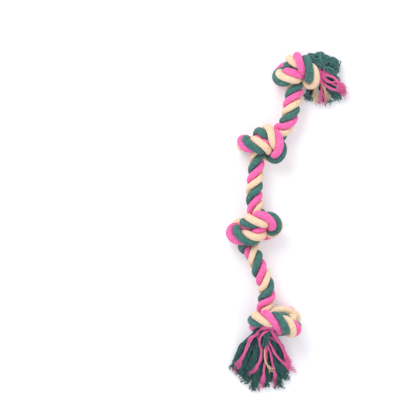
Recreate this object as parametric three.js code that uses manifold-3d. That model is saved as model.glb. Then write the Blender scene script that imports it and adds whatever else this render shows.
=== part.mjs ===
// A rope toy for dogs: three cotton strands laid right-handed into one thick rope,
// tied into four overhand knots, with the strands opened into a tassel at each end.
// It lies on a flat surface. Millimetres, +Z up, +Y along the toy.
import * as THREE from 'three';
import Module from 'manifold-3d';

// Driving dimensions of the rope
const ropeDiameter = 33;
const strandDiameter = 13.6;
const knotStrandDiameter = 11.9;
const layPitch = 61;
const strandGap = 0.6;
const endGap = 0.3;

// Height of the rope's middle line above the surface, and depth of the flats under the knots
const ropeHeight = 34;
const flatDepth = 1.4;

// Yarns of the tassels
const greenYarnDiameter = 10.4;
const pinkYarnDiameter = 4.4;
const creamYarnDiameter = 3.6;
const rootShare = 0.32;
const rootLength = 8;
const rootSpread = 1.4;
const yarnsPerStrand = 5;
const swellShare = 0.45;
const taperShare = 0.25;
const tipShare = 0.7;
const yarnClearance = 1.2;

// Spacing of the points that strands and yarns are worked out on
const routeStep = 7.2;
const yarnStep = 13;
const layStep = 0.05;
const layTries = 200;
const fineSteps = 16;
const laySteps = 16;
const nearReach = 12;
const swellFadeLength = 18;

// A knot lies pressed down to this share of its round height
const pressShare = 0.85;
const pressedLength = 84;
const pressFadeLength = 40;

// Facets
const strandSides = 8;
const yarnSides = 5;

// How strands and yarns bed against each other
const pullingRounds = 60;
const clearingRounds = 300;
const refreshRounds = 12;
const skippedNeighbours = 3;
const smoothingShare = 0.1;
const pullShare = 0.1;
const tightnessShare = 0.97;

const strandNames = ['green', 'cream', 'pink'];

// Half of an overhand knot's route in rope diameters, with the rope coming in from +Y.
// The other half is the same turned half way round the Z axis.
const halfKnotShares = [
  [0.05, 1.38, -0.37], [0.17, 0.89, -0.15], [0.27, 0.41, 0.08], [0.45, -0.02, 0.4],
  [0.33, -0.41, 0.73], [-0.03, -0.73, 0.93], [-0.53, -0.93, 0.9], [-1, -0.97, 0.61],
  [-1.25, -0.85, 0.17], [-1.3, -0.63, -0.32], [-1, -0.38, -0.7], [-0.5, -0.17, -0.86],
];
const knotMiddleShares = [0, 0, -0.89];

// The four knots. place: middle of the knot. turn: degrees about Z. bend: extra turn of the
// last half against the first. spreadShares: width, length and height against the round
// knot. nod and roll: degrees about X and Y. firstLobe and lastLobe: how far each lobe is
// moved, in rope diameters, and turned, in degrees. lay: turn of the green strand from the
// top where the rope comes in, then its turns over the knot, and how uneven they are.
const knots = [
  {
    place: [70.8, 317.1, 0], turn: -56, bend: 16, spreadShares: [0.655, 0.513, 0.59],
    nod: 19, roll: -43.5, firstLobe: [-0.12, -0.33, 22], lastLobe: [-0.05, 0.14, -11],
    lay: [0.013, 3.99, 0.1, -0.01], turnedOver: false,
  },
  {
    place: [0.3, 163.3, 0], turn: -36, bend: -3, spreadShares: [0.84, 0.6, 0.735],
    nod: -16, roll: -35, firstLobe: [-0.11, -0.12, 3.5], lastLobe: [-0.29, -0.13, -24],
    lay: [0.131, 3.98, -0.02, -0.08], turnedOver: false,
  },
  {
    place: [-20, -13.9, 0], turn: -25, bend: -31, spreadShares: [0.74, 1.06, 0.715],
    nod: 13.5, roll: -29, firstLobe: [-0.08, 0.15, -33], lastLobe: [0.1, -0.06, 18],
    lay: [0.638, 6.01, -0.04, 0.3], turnedOver: false,
  },
  {
    place: [14.9, -205.9, 0], turn: 69.5, bend: -34, spreadShares: [0.71, 0.52, 1.025],
    nod: -68.5, roll: -54, firstLobe: [0.4, -0.375, -21.5], lastLobe: [-0.055, 0.125, 8],
    lay: [-0.19, 5.02, 0.17, -0.07], turnedOver: true,
  },
];
const lobeMiddles = [6.5, 17.5];
const lobeReach = 3.2;

// Middle line of the rope before, between and after the knots
const upperEnd = [[112, 330, -12], [100, 331, -6]];
const stretches = [
  [[57.1, 254.1, 0], [51.7, 229, 0], [43, 205.8, 0]],
  [[-20, 93.2, 0], [-22.5, 56.7, 0]],
  [[-19.3, -73.5, 0], [-12, -98.7, 0], [4.2, -140.7, 0]],
];
const lowerEnd = [[2, -226, 12]];

// Tassel yarns: colour, then the points of the route
const upperYarns = [
  ['green', [120, 340, -10], [127, 344, -9], [138, 340, -14], [148, 328, -23]],
  ['green', [122, 334, -8], [131, 334, -9], [139, 326, -15], [144, 313, -24]],
  ['green', [124, 328, -14], [134, 320, -18], [144, 309, -23], [151, 299, -27]],
  ['green', [122, 320, -18], [127, 304, -21], [135, 286, -23], [146, 274, -26], [159, 268, -27]],
  ['green', [114, 316, -24], [106, 298, -27], [96, 281, -27], [94, 262, -27]],
  ['green', [119, 318, -20], [122, 298, -24], [124, 276, -27], [133, 254, -27]],
  ['pink', [123, 324, -2], [131, 317, 0], [141, 311, -2], [150, 302, -7], [158, 290, -14], [168, 278, -22]],
  ['pink', [122, 320, -8], [124, 305, -6], [131, 289, -5], [149, 288, -10], [165, 282, -18]],
  ['pink', [118, 319, -16], [117, 302, -12], [118, 285, -10], [118, 270, -14], [119, 256, -22]],
  ['cream', [121, 317, -10], [114, 300, -8], [110, 282, -8], [104, 269, -13], [108, 254, -23]],
  ['cream', [120, 319, -8], [122, 302, -8], [126, 280, -9], [132, 257, -21]],
];
const lowerYarns = [
  ['green', [-13, -237, 4], [-28, -238, -6], [-41, -252, -18], [-53, -270, -26], [-60, -292, -27]],
  ['green', [-8, -243, 0], [-21, -250, -10], [-33, -268, -21], [-43, -292, -27], [-51, -316, -27]],
  ['green', [-3, -246, -2], [-12, -262, -12], [-23, -284, -21], [-32, -308, -27], [-41, -332, -27]],
  ['green', [2, -247, -4], [-3, -268, -15], [-12, -295, -24], [-18, -321, -27], [-20, -346, -27]],
  ['green', [6, -248, -10], [6, -276, -21], [4, -308, -27], [5, -339, -27]],
  ['green', [11, -246, -4], [17, -270, -17], [24, -296, -25], [28, -320, -27], [28, -341, -27]],
  ['green', [14, -241, 2], [25, -256, -10], [34, -275, -22], [39, -298, -27], [42, -325, -27]],
  ['pink', [-8, -231, 16], [-20, -227, 13], [-29, -238, 3], [-35, -255, -6], [-46, -283, -18], [-62, -308, -25]],
  ['pink', [-4, -238, 10], [-11, -243, 6], [-10, -259, -1], [-7, -277, -8], [-12, -296, -15], [-27, -316, -21]],
  ['pink', [12, -237, 10], [23, -242, 3], [33, -253, -6], [40, -266, -13], [47, -294, -23]],
  ['pink', [9, -244, 6], [12, -256, 0], [14, -268, -4], [24, -281, -9], [44, -298, -19], [59, -309, -24]],
  ['pink', [3, -244, 0], [6, -266, -8], [-1, -292, -14], [0, -316, -19], [-8, -347, -26]],
  ['pink', [9, -250, -4], [13, -286, -14], [19, -308, -20], [25, -341, -26]],
  ['cream', [2, -246, 4], [-2, -272, -6], [3, -288, -11], [8, -304, -15], [16, -311, -18]],
];

// Colours of the cotton, lit
const cottonColours = { green: 0x3f7a6e, pink: 0xf5609f, cream: 0xf0cda6 };
const yarnGreen = 0x2a5a50;
const cottonRoughness = 0.92;

const up = new THREE.Vector3(0, 0, 1);
const fullTurn = 2 * Math.PI;
const radians = THREE.MathUtils.degToRad;

// A bump of 1 at the middle that fades out over the reach
function bump(value, middle, reach) {
  return Math.exp(-(((value - middle) / reach) ** 2));
}

// The route of one knot, in millimetres, without the two points in the straight rope
function knotRoute(knot) {
  const otherHalf = halfKnotShares.toReversed().map(([x, y, z]) => [-x, -y, z]);
  const shares = [...halfKnotShares, knotMiddleShares, ...otherHalf];
  const middle = (shares.length - 1) / 2;
  const side = knot.turnedOver ? -1 : 1;
  return shares.slice(1, -1).map(([x, y, z], i) => {
    const index = i + 1;
    const first = bump(index, lobeMiddles[0], lobeReach);
    const last = bump(index, lobeMiddles[1], lobeReach);
    const [wide, long, high] = knot.spreadShares;
    const point = new THREE.Vector3(x * wide * side, y * long, z * high * side);
    point.x += knot.firstLobe[0] * first + knot.lastLobe[0] * last;
    point.y += knot.firstLobe[1] * first + knot.lastLobe[1] * last;
    point.applyAxisAngle(new THREE.Vector3(1, 0, 0), radians(knot.nod));
    point.applyAxisAngle(new THREE.Vector3(0, 1, 0), radians(knot.roll));
    const lobeTurn = knot.firstLobe[2] * first + knot.lastLobe[2] * last;
    const bend = (knot.bend * (index - middle)) / middle;
    point.applyAxisAngle(up, radians(knot.turn + bend + lobeTurn));
    point.multiplyScalar(ropeDiameter);
    point.z /= pressShare;
    return point.add(new THREE.Vector3(...knot.place));
  });
}

// The whole middle line, and where each knot starts and ends on it, in points
function ropeRoute() {
  const points = upperEnd.map((p) => new THREE.Vector3(...p));
  const spans = [];
  knots.forEach((knot, i) => {
    const start = points.length;
    points.push(...knotRoute(knot));
    spans.push([start, points.length - 1]);
    const after = stretches[i] ?? lowerEnd;
    points.push(...after.map((p) => new THREE.Vector3(...p)));
  });
  return { points, spans };
}

// Points along a smooth curve at an even step, with the distance of each guide point
function evenPoints(guides, step) {
  const curve = new THREE.CatmullRomCurve3(guides, false, 'centripetal');
  const fine = curve.getPoints((guides.length - 1) * fineSteps);
  const distance = [0];
  for (let i = 1; i < fine.length; i++) {
    distance.push(distance[i - 1] + fine[i].distanceTo(fine[i - 1]));
  }
  const length = distance.at(-1);
  const count = Math.round(length / step) + 1;
  const points = [];
  let j = 1;
  for (let i = 0; i < count; i++) {
    const target = (length * i) / (count - 1);
    while (j < fine.length - 1 && distance[j] < target) j += 1;
    const share = (target - distance[j - 1]) / (distance[j] - distance[j - 1]);
    points.push(fine[j - 1].clone().lerp(fine[j], share));
  }
  return { points, length, guideDistance: guides.map((_, i) => distance[i * fineSteps]) };
}

// Tangent, and a pair of cross directions that don't spin, at each point of a line
function framesAlong(points, firstNormal, firstTangent) {
  const tangents = points.map((_, i) => {
    if (i === 0 && firstTangent) return firstTangent;
    const before = points[Math.max(i - 1, 0)];
    const after = points[Math.min(i + 1, points.length - 1)];
    return after.clone().sub(before).normalize();
  });
  const normals = [];
  let normal = firstNormal.clone();
  for (const tangent of tangents) {
    normal = normal.clone().addScaledVector(tangent, -normal.dot(tangent)).normalize();
    normals.push(normal);
  }
  const sides = tangents.map((t, i) => t.clone().cross(normals[i]));
  return { tangents, normals, sides };
}

// Least distance between two strands laid at one radius and pitch, a third of a turn apart
function strandSpacing(radius, pitch) {
  let least = Infinity;
  for (let i = 0; i < layTries; i++) {
    const along = (pitch * i) / (strandNames.length * layTries);
    const angle = fullTurn / strandNames.length - (fullTurn * along) / pitch;
    const across = 2 * radius * Math.sin(angle / 2);
    least = Math.min(least, Math.hypot(across, along));
  }
  return least;
}

// The radius at which the rope's three strands just clear each other
function layRadius() {
  let radius = strandDiameter / 2;
  while (strandSpacing(radius, layPitch) < strandDiameter + strandGap) radius += layStep;
  return radius;
}

// Angle of the first strand round the middle line, as pairs of distance and angle
function layMarks(route, spans, frames) {
  const marks = [];
  knots.forEach((knot, k) => {
    const [start, end] = spans[k].map((i) => route.guideDistance[i]);
    const at = Math.round((start / route.length) * (route.points.length - 1));
    const [entry, turns, lean, wave] = knot.lay;
    let angle = Math.atan2(frames.sides[at].z, frames.normals[at].z) + fullTurn * entry;
    if (marks.length > 0) {
      const before = marks.at(-1);
      const wanted = before.angle + (fullTurn * (start - before.distance)) / layPitch;
      angle += fullTurn * Math.round((wanted - angle) / fullTurn);
    } else {
      marks.push({ distance: 0, angle: angle - (fullTurn * start) / layPitch });
    }
    for (let i = 0; i <= laySteps; i++) {
      const share = i / laySteps;
      const uneven = lean * Math.sin(fullTurn * share) + wave * Math.sin(2 * fullTurn * share);
      const distance = THREE.MathUtils.lerp(start, end, share);
      marks.push({ distance, angle: angle + fullTurn * (turns * share + uneven) });
    }
  });
  const last = marks.at(-1);
  const rest = route.length - last.distance;
  marks.push({ distance: route.length, angle: last.angle + (fullTurn * rest) / layPitch });
  return marks;
}

// Value of a line of marks at a distance
function angleAt(marks, distance) {
  let i = 1;
  while (i < marks.length - 1 && marks[i].distance < distance) i += 1;
  const share = (distance - marks[i - 1].distance) / (marks[i].distance - marks[i - 1].distance);
  return THREE.MathUtils.lerp(marks[i - 1].angle, marks[i].angle, share);
}

// How far a distance along the rope is inside a knot, from 0 to 1
function insideKnot(distance, knotSpans) {
  const depth = knotSpans.map(([a, b]) => Math.min(distance - a, b - distance));
  return THREE.MathUtils.smoothstep(Math.max(...depth), 0, swellFadeLength);
}

// The three strands as laid, before they bed
function laidStrands(route, spans) {
  const frames = framesAlong(route.points, up);
  const marks = layMarks(route, spans, frames);
  const straightRadius = layRadius();
  const knotSpans = spans.map((span) => span.map((i) => route.guideDistance[i]));
  return strandNames.map((name, k) => {
    const points = [];
    const radii = [];
    route.points.forEach((middle, i) => {
      const distance = (route.length * i) / (route.points.length - 1);
      const angle = angleAt(marks, distance) + (fullTurn * k) / strandNames.length;
      const inside = insideKnot(distance, knotSpans);
      const diameter = THREE.MathUtils.lerp(strandDiameter, knotStrandDiameter, inside);
      const radius = (straightRadius * (diameter + strandGap)) / (strandDiameter + strandGap);
      const point = middle.clone();
      point.addScaledVector(frames.normals[i], radius * Math.cos(angle));
      point.addScaledVector(frames.sides[i], radius * Math.sin(angle));
      points.push(point);
      radii.push(diameter / 2);
    });
    return { name, points, radii, heldEnds: [2, 2], tightness: tightnessShare, sink: flatDepth };
  });
}

// Share of its round height that the rope lies at, by the distance along the toy
function pressAt(y) {
  const away = Math.min(...knots.map((knot) => Math.abs(y - knot.place[1])));
  const beyond = away - pressedLength / 2;
  const fade = THREE.MathUtils.smoothstep(beyond, 0, pressFadeLength);
  return THREE.MathUtils.lerp(pressShare, 1, fade);
}

// Radius of a yarn at a share of its length
function yarnRadius(diameter, share) {
  const root = THREE.MathUtils.smoothstep(share, 0, swellShare);
  const tip = THREE.MathUtils.smoothstep(share, 1 - taperShare, 1);
  return (diameter / 2) * THREE.MathUtils.lerp(rootShare, 1, root) * THREE.MathUtils.lerp(1, tipShare, tip);
}

// The last point of each strand at one end of the rope, and the way it points
function strandEnds(strands, atStart) {
  return strands.map((strand) => {
    const [end, before] = atStart ? strand.points.slice(0, 2) : strand.points.slice(-2).reverse();
    return { end, outward: end.clone().sub(before).normalize(), yarns: [] };
  });
}

// The yarns that come out of the ends of the strands, before they bed
function laidYarns(specs, strands, atStart) {
  const diameters = { green: greenYarnDiameter, pink: pinkYarnDiameter, cream: creamYarnDiameter };
  const ends = strandEnds(strands, atStart);
  const chains = specs.map(([colour, ...places], n) => {
    const first = new THREE.Vector3(...places[0]);
    const roomy = ends.filter((end) => end.yarns.length < yarnsPerStrand);
    const nearest = roomy.toSorted((a, b) => a.end.distanceTo(first) - b.end.distanceTo(first))[0];
    const chain = { name: `${colour}_yarn_${n + 1}`, colour, tightness: 1 };
    chain.heldEnds = [2, 0];
    chain.sink = -yarnClearance;
    chain.outward = nearest.outward;
    chain.rootedOn = { strand: ends.indexOf(nearest), atStart };
    chain.guides = places.map((place) => new THREE.Vector3(...place));
    chain.diameter = diameters[colour];
    nearest.yarns.push(chain);
    return chain;
  });
  ends.forEach(spreadRoots);
  return chains;
}

// Sets the roots of the yarns of one strand round its end, and lays the yarns from there
function spreadRoots({ end, outward, yarns }) {
  const across = up.clone().addScaledVector(outward, -outward.z).normalize();
  const other = outward.clone().cross(across);
  const turnOf = (yarn) => {
    const way = yarn.guides[0].clone().sub(end);
    return Math.atan2(way.dot(other), way.dot(across));
  };
  const sorted = yarns.toSorted((a, b) => turnOf(a) - turnOf(b));
  const rootRadius = (strandDiameter - greenYarnDiameter * rootShare) / 2;
  sorted.forEach((yarn, i) => {
    const angle = turnOf(sorted[0]) + (fullTurn * i) / sorted.length;
    const aside = across.clone().multiplyScalar(Math.cos(angle));
    aside.addScaledVector(other, Math.sin(angle));
    const root = end.clone().addScaledVector(outward, endGap).addScaledVector(aside, rootRadius);
    const next = root.clone().addScaledVector(outward, rootLength).addScaledVector(aside, rootSpread);
    const further = evenPoints([next, ...yarn.guides], yarnStep);
    yarn.points = [root, ...further.points];
    yarn.radii = yarn.points.map((point) => {
      const share = point.distanceTo(root) / (rootLength + further.length);
      return yarnRadius(yarn.diameter, share);
    });
  });
}

// Strands and yarns as chains of points, which are drawn tight and push each other apart
class Bedding {
  constructor(chains) {
    this.chains = chains;
    const points = chains.flatMap((chain) => chain.points);
    this.place = Float64Array.from(points.flatMap((point) => point.toArray()));
    this.radius = Float64Array.from(chains.flatMap((chain) => chain.radii));
    this.sink = Float64Array.from(chains.flatMap((chain) => chain.points.map(() => chain.sink)));
    this.held = new Uint8Array(points.length);
    this.shift = new Float64Array(this.place.length);
    this.weight = new Float64Array(points.length);
    this.segments = [];
    let start = 0;
    chains.forEach((chain, k) => {
      const count = chain.points.length;
      chain.start = start;
      this.held.fill(1, start, start + chain.heldEnds[0]);
      this.held.fill(1, start + count - chain.heldEnds[1], start + count);
      for (let i = start; i < start + count - 1; i++) {
        const length = this.lengthOf(i);
        this.segments.push({ i, chain: k, length, rest: length * chain.tightness });
      }
      start += count;
    });
  }

  lengthOf(i) {
    const p = this.place;
    const a = 3 * i;
    return Math.hypot(p[a + 3] - p[a], p[a + 4] - p[a + 1], p[a + 5] - p[a + 2]);
  }

  // Whether two segments join, so that they may touch
  joined(a, b) {
    if (a.chain === b.chain) return b.i - a.i <= skippedNeighbours;
    const root = this.chains[b.chain].rootedOn;
    if (!root || root.strand !== a.chain) return false;
    const strand = this.chains[a.chain];
    const along = a.i - strand.start;
    const fromEnd = root.atStart ? along : strand.points.length - 2 - along;
    return fromEnd <= 1 && b.i === this.chains[b.chain].start;
  }

  // Lists the segments that lie near each other
  findNear() {
    const p = this.place;
    this.near = [];
    for (let m = 0; m < this.segments.length; m++) {
      const a = this.segments[m];
      for (let n = m + 1; n < this.segments.length; n++) {
        const b = this.segments[n];
        const limit = this.thick(a.i) + this.thick(b.i) + strandGap;
        const reach = limit + nearReach;
        const i = 3 * a.i;
        const j = 3 * b.i;
        const x = p[i] + p[i + 3] - p[j] - p[j + 3];
        const y = p[i + 1] + p[i + 4] - p[j + 1] - p[j + 4];
        const z = p[i + 2] + p[i + 5] - p[j + 2] - p[j + 5];
        if (x * x + y * y + z * z > 4 * reach * reach) continue;
        if (!this.joined(a, b)) this.near.push([a.i, b.i, limit]);
      }
    }
  }

  thick(i) {
    return Math.max(this.radius[i], this.radius[i + 1]);
  }

  // Closest points of two segments as shares along them, with the way from one to the other
  closest(i, j) {
    const p = this.place;
    const a = 3 * i;
    const b = 3 * j;
    const [ux, uy, uz] = [p[a + 3] - p[a], p[a + 4] - p[a + 1], p[a + 5] - p[a + 2]];
    const [vx, vy, vz] = [p[b + 3] - p[b], p[b + 4] - p[b + 1], p[b + 5] - p[b + 2]];
    const [wx, wy, wz] = [p[a] - p[b], p[a + 1] - p[b + 1], p[a + 2] - p[b + 2]];
    const uu = ux * ux + uy * uy + uz * uz;
    const vv = vx * vx + vy * vy + vz * vz;
    const uv = ux * vx + uy * vy + uz * vz;
    const uw = ux * wx + uy * wy + uz * wz;
    const vw = vx * wx + vy * wy + vz * wz;
    const spread = uu * vv - uv * uv;
    const limit = (value) => Math.min(Math.max(value, 0), 1);
    let s = spread > Number.EPSILON * uu * vv ? limit((uv * vw - vv * uw) / spread) : 1 / 2;
    const free = (uv * s + vw) / vv;
    const t = limit(free);
    if (t !== free) s = limit((uv * t - uw) / uu);
    return [s, t, wx + ux * s - vx * t, wy + uy * s - vy * t, wz + uz * s - vz * t];
  }

  // Adds one point's part of a push
  push(i, share, x, y, z) {
    const at = 3 * i;
    this.shift[at] += x * share;
    this.shift[at + 1] += y * share;
    this.shift[at + 2] += z * share;
    this.weight[i] += Math.abs(share);
  }

  // Moves the free points by their pushes, each the mean of those on it
  settle() {
    for (let i = 0; i < this.held.length; i++) {
      if (!this.held[i]) {
        const share = 1 / Math.max(1, this.weight[i]);
        for (let k = 3 * i; k < 3 * i + 3; k++) this.place[k] += this.shift[k] * share;
      }
    }
    this.shift.fill(0);
    this.weight.fill(0);
  }

  // Pushes apart all that is too near, and returns the deepest overlap
  separate() {
    let deepest = 0;
    for (const [i, j, limit] of this.near) {
      const [s, t, x, y, z] = this.closest(i, j);
      const distance = Math.hypot(x, y, z);
      if (distance < limit) {
        deepest = Math.max(deepest, limit - distance);
        const spread = (1 - s) ** 2 + s ** 2 + (1 - t) ** 2 + t ** 2;
        const force = (limit - distance) / (spread * distance);
        this.push(i, 1 - s, x * force, y * force, z * force);
        this.push(i + 1, s, x * force, y * force, z * force);
        this.push(j, t - 1, x * force, y * force, z * force);
        this.push(j + 1, -t, x * force, y * force, z * force);
      }
    }
    this.settle();
    return deepest;
  }

  // Draws each segment towards its length at rest
  tighten() {
    for (const { i, rest } of this.segments) {
      const a = 3 * i;
      const p = this.place;
      const force = (pullShare / 2) * (1 - rest / this.lengthOf(i));
      const way = [p[a + 3] - p[a], p[a + 4] - p[a + 1], p[a + 5] - p[a + 2]];
      this.push(i, 1 / 2, ...way.map((v) => 2 * force * v));
      this.push(i + 1, -1 / 2, ...way.map((v) => 2 * force * v));
    }
    this.settle();
  }

  // Evens out the bends of each chain
  smooth() {
    const p = this.place;
    for (const { start, points } of this.chains) {
      const bends = points.map((_, n) => {
        const i = 3 * (start + n);
        if (n === 0 || n === points.length - 1) return [0, 0, 0];
        return [0, 1, 2].map((k) => (p[i + k - 3] + p[i + k + 3]) / 2 - p[i + k]);
      });
      for (let n = 2; n < points.length - 2; n++) {
        for (let k = 0; k < 3; k++) {
          const change = (bends[n - 1][k] + bends[n + 1][k]) / 2 - bends[n][k];
          this.shift[3 * (start + n) + k] = -smoothingShare * change;
        }
      }
    }
    this.settle();
  }

  // Keeps everything above the surface
  stayUp() {
    for (let i = 0; i < this.held.length; i++) {
      const height = ropeHeight + this.sink[i];
      const floor = this.radius[i] - height / pressAt(this.place[3 * i + 1]);
      this.place[3 * i + 2] = Math.max(this.place[3 * i + 2], floor);
    }
  }

  run() {
    let deepest = 0;
    for (let round = 0; round < pullingRounds + clearingRounds; round++) {
      if (round % refreshRounds === 0) this.findNear();
      if (round < pullingRounds) {
        this.smooth();
        this.tighten();
      }
      deepest = this.separate();
      this.stayUp();
    }
    for (const chain of this.chains) {
      chain.points = chain.points.map((_, n) => {
        return new THREE.Vector3().fromArray(this.place, 3 * (chain.start + n));
      });
    }
    return deepest;
  }
}

// A closed tube through part of a chain, with flat ends that stop short by the gaps
function tube(chain, from, to, gaps, sides) {
  const frames = framesAlong(chain.points, up, chain.outward);
  const positions = [];
  const middles = [];
  for (let i = from; i <= to; i++) {
    const middle = chain.points[i].clone();
    if (i === from) middle.addScaledVector(frames.tangents[i], gaps[0]);
    if (i === to) middle.addScaledVector(frames.tangents[i], -gaps[1]);
    middles.push(middle);
    for (let k = 0; k < sides; k++) {
      const angle = (fullTurn * (k + 1 / 2)) / sides;
      const point = middle.clone();
      point.addScaledVector(frames.normals[i], chain.radii[i] * Math.cos(angle));
      point.addScaledVector(frames.sides[i], chain.radii[i] * Math.sin(angle));
      positions.push(point);
    }
  }
  const end = positions.length - sides;
  const firstMiddle = positions.push(middles[0]) - 1;
  const lastMiddle = positions.push(middles.at(-1)) - 1;
  const faces = [];
  for (let k = 0; k < sides; k++) {
    const next = (k + 1) % sides;
    for (let ring = 0; ring < end; ring += sides) {
      faces.push(ring + k, ring + next, ring + next + sides);
      faces.push(ring + k, ring + next + sides, ring + k + sides);
    }
    faces.push(firstMiddle, next, k);
    faces.push(lastMiddle, end + k, end + next);
  }
  return { positions, faces };
}

// Presses the tube down, sets it on the surface and makes a mesh of it
function pressedMesh(Manifold, { positions, faces }) {
  const vertices = new Float32Array(positions.length * 3);
  positions.forEach((point, i) => {
    const pressed = point.clone();
    pressed.z = point.z * pressAt(point.y) + ropeHeight;
    pressed.toArray(vertices, 3 * i);
  });
  const solid = new Manifold({ numProp: 3, vertProperties: vertices, triVerts: Uint32Array.from(faces) });
  const above = solid.boundingBox().min[2] < 0 ? solid.trimByPlane(up.toArray(), 0) : solid;
  const mesh = above.getMesh();
  const geometry = new THREE.BufferGeometry();
  geometry.setAttribute('position', new THREE.BufferAttribute(mesh.vertProperties, 3));
  geometry.setIndex(new THREE.BufferAttribute(mesh.triVerts, 1));
  return geometry;
}

// Where the strands are parted: into knots and the stretches between them
function partings(route, spans, count) {
  const at = (i) => Math.round((route.guideDistance[i] / route.length) * (count - 1));
  const parts = [];
  spans.forEach(([start, end], k) => {
    const from = k === 0 ? 0 : at(start);
    const to = k === spans.length - 1 ? count - 1 : at(end);
    parts.push({ name: `knot_${k + 1}`, from, to });
    if (k < spans.length - 1) {
      parts.push({ name: `stretch_${k + 1}`, from: to, to: at(spans[k + 1][0]) });
    }
  });
  return parts;
}

function cotton(colour) {
  return new THREE.MeshStandardMaterial({ color: colour, roughness: cottonRoughness, metalness: 0 });
}

const wasm = await Module();
wasm.setup();
const { Manifold } = wasm;

const guides = ropeRoute();
const route = evenPoints(guides.points, routeStep);
const strands = laidStrands(route, guides.spans);
const upper = laidYarns(upperYarns, strands, true);
const lower = laidYarns(lowerYarns, strands, false);
new Bedding([...strands, ...upper, ...lower]).run();

const toy = new THREE.Group();
function add(name, geometry, colour) {
  const mesh = new THREE.Mesh(geometry, cotton(colour));
  mesh.name = name;
  toy.add(mesh);
}
for (const part of partings(route, guides.spans, route.points.length)) {
  for (const strand of strands) {
    const shape = tube(strand, part.from, part.to, [endGap / 2, endGap / 2], strandSides);
    const geometry = pressedMesh(Manifold, shape);
    add(`${part.name}_${strand.name}_strand`, geometry, cottonColours[strand.name]);
  }
}
for (const [tassel, yarns] of [['top', upper], ['bottom', lower]]) {
  for (const yarn of yarns) {
    const shape = tube(yarn, 0, yarn.points.length - 1, [0, 0], yarnSides);
    const geometry = pressedMesh(Manifold, shape);
    const colour = yarn.colour === 'green' ? yarnGreen : cottonColours[yarn.colour];
    add(`${tassel}_tassel_${yarn.name}`, geometry, colour);
  }
}

// Middle of the toy over the origin
const box = new THREE.Box3().setFromObject(toy);
const centre = box.getCenter(new THREE.Vector3());
for (const mesh of toy.children) mesh.geometry.translate(-centre.x, -centre.y, -box.min.z);

export default toy;
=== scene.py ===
# A rope toy for dogs: three cotton strands laid right-handed into one thick rope,
# tied into four overhand knots, with the strands opened into a tassel at each end.
# It lies on a pale floor and is seen from above. Metres, +Z up, +Y along the toy.
import math
from collections import namedtuple

import bpy
import numpy as np
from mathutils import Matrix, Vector
from numpy.linalg import norm


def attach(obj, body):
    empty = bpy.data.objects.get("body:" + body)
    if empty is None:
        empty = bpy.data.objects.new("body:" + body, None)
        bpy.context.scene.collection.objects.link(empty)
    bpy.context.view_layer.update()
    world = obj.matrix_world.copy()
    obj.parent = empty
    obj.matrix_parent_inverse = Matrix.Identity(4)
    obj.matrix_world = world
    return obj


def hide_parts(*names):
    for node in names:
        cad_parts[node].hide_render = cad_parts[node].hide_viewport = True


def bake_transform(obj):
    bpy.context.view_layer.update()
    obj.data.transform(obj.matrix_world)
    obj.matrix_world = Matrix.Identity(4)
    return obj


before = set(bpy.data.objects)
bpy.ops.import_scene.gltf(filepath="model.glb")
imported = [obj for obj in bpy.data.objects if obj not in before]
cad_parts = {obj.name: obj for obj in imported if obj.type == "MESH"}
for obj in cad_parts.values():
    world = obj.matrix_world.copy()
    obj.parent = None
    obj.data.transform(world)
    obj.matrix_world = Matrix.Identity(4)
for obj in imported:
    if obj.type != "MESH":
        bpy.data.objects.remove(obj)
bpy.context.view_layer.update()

# Driving dimensions of the rope
ROPE_DIAMETER = 0.033
STRAND_DIAMETER = 0.0136
KNOT_STRAND_DIAMETER = 0.0119
KNOT_FADE_LENGTH = 0.018
LAY_PITCH = 0.061
STRAND_GAP = 0.0006
END_GAP = 0.0003

# Height of the rope's middle line above the floor, and depth of the flats under the knots
ROPE_HEIGHT = 0.034
FLAT_DEPTH = 0.0014

# Yarns of the tassels as laid: thin where they leave the strand, and thinner again at the tip
YARN_DIAMETERS = {"green": 0.0104, "pink": 0.0044, "cream": 0.0036}
ROOT_SHARE = 0.32
ROOT_LENGTH = 0.008
ROOT_SPREAD = 0.0014
YARNS_PER_STRAND = 5
SWELL_SHARE = 0.45
TAPER_SHARE = 0.25
TIP_SHARE = 0.7
YARN_CLEARANCE = 0.0012

# Spacing of the points that strands and yarns are worked out on, and how finely
ROUTE_STEP = 0.0072
YARN_STEP = 0.013
FINE_STEPS = 16
LAY_STEP = 0.00005
LAY_TRIES = 200
LAY_MARKS = 16

# A knot lies pressed down to this share of its round height
PRESS_SHARE = 0.85
PRESSED_LENGTH = 0.084
PRESS_FADE_LENGTH = 0.040

# How strands and yarns bed against each other
NEAR_REACH = 0.012
PULLING_ROUNDS = 60
CLEARING_ROUNDS = 300
REFRESH_ROUNDS = 12
SKIPPED_NEIGHBOURS = 3
SMOOTHING_SHARE = 0.1
PULL_SHARE = 0.1
TIGHTNESS_SHARE = 0.97
STRAND_HELD_POINTS = (2, 2)
YARN_HELD_POINTS = (2, 0)

# How the cotton looks: each strand swells until it meets what lies beside it
SHOWN_DIAMETER = 0.0148
SHOWN_KNOT_DIAMETER = 0.0182
SHOWN_SPAN_STEPS = 4
SHOWN_SIDES = 32
OWN_REACH = 0.026
OPEN_REACH = 1
NEARLY_ZERO = 1e-9
CONTACT_GAP = 0.0002
FLOOR_GAP = 0.0002
ROUNDNESS = 6
EVENING_ROUNDS = 2
END_TAPER_LENGTH = 0.014
END_TAPER_SHARE = 0.6
END_ROUNDING_STEPS = 4
END_CLOSING_SHARE = 0.98

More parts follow.
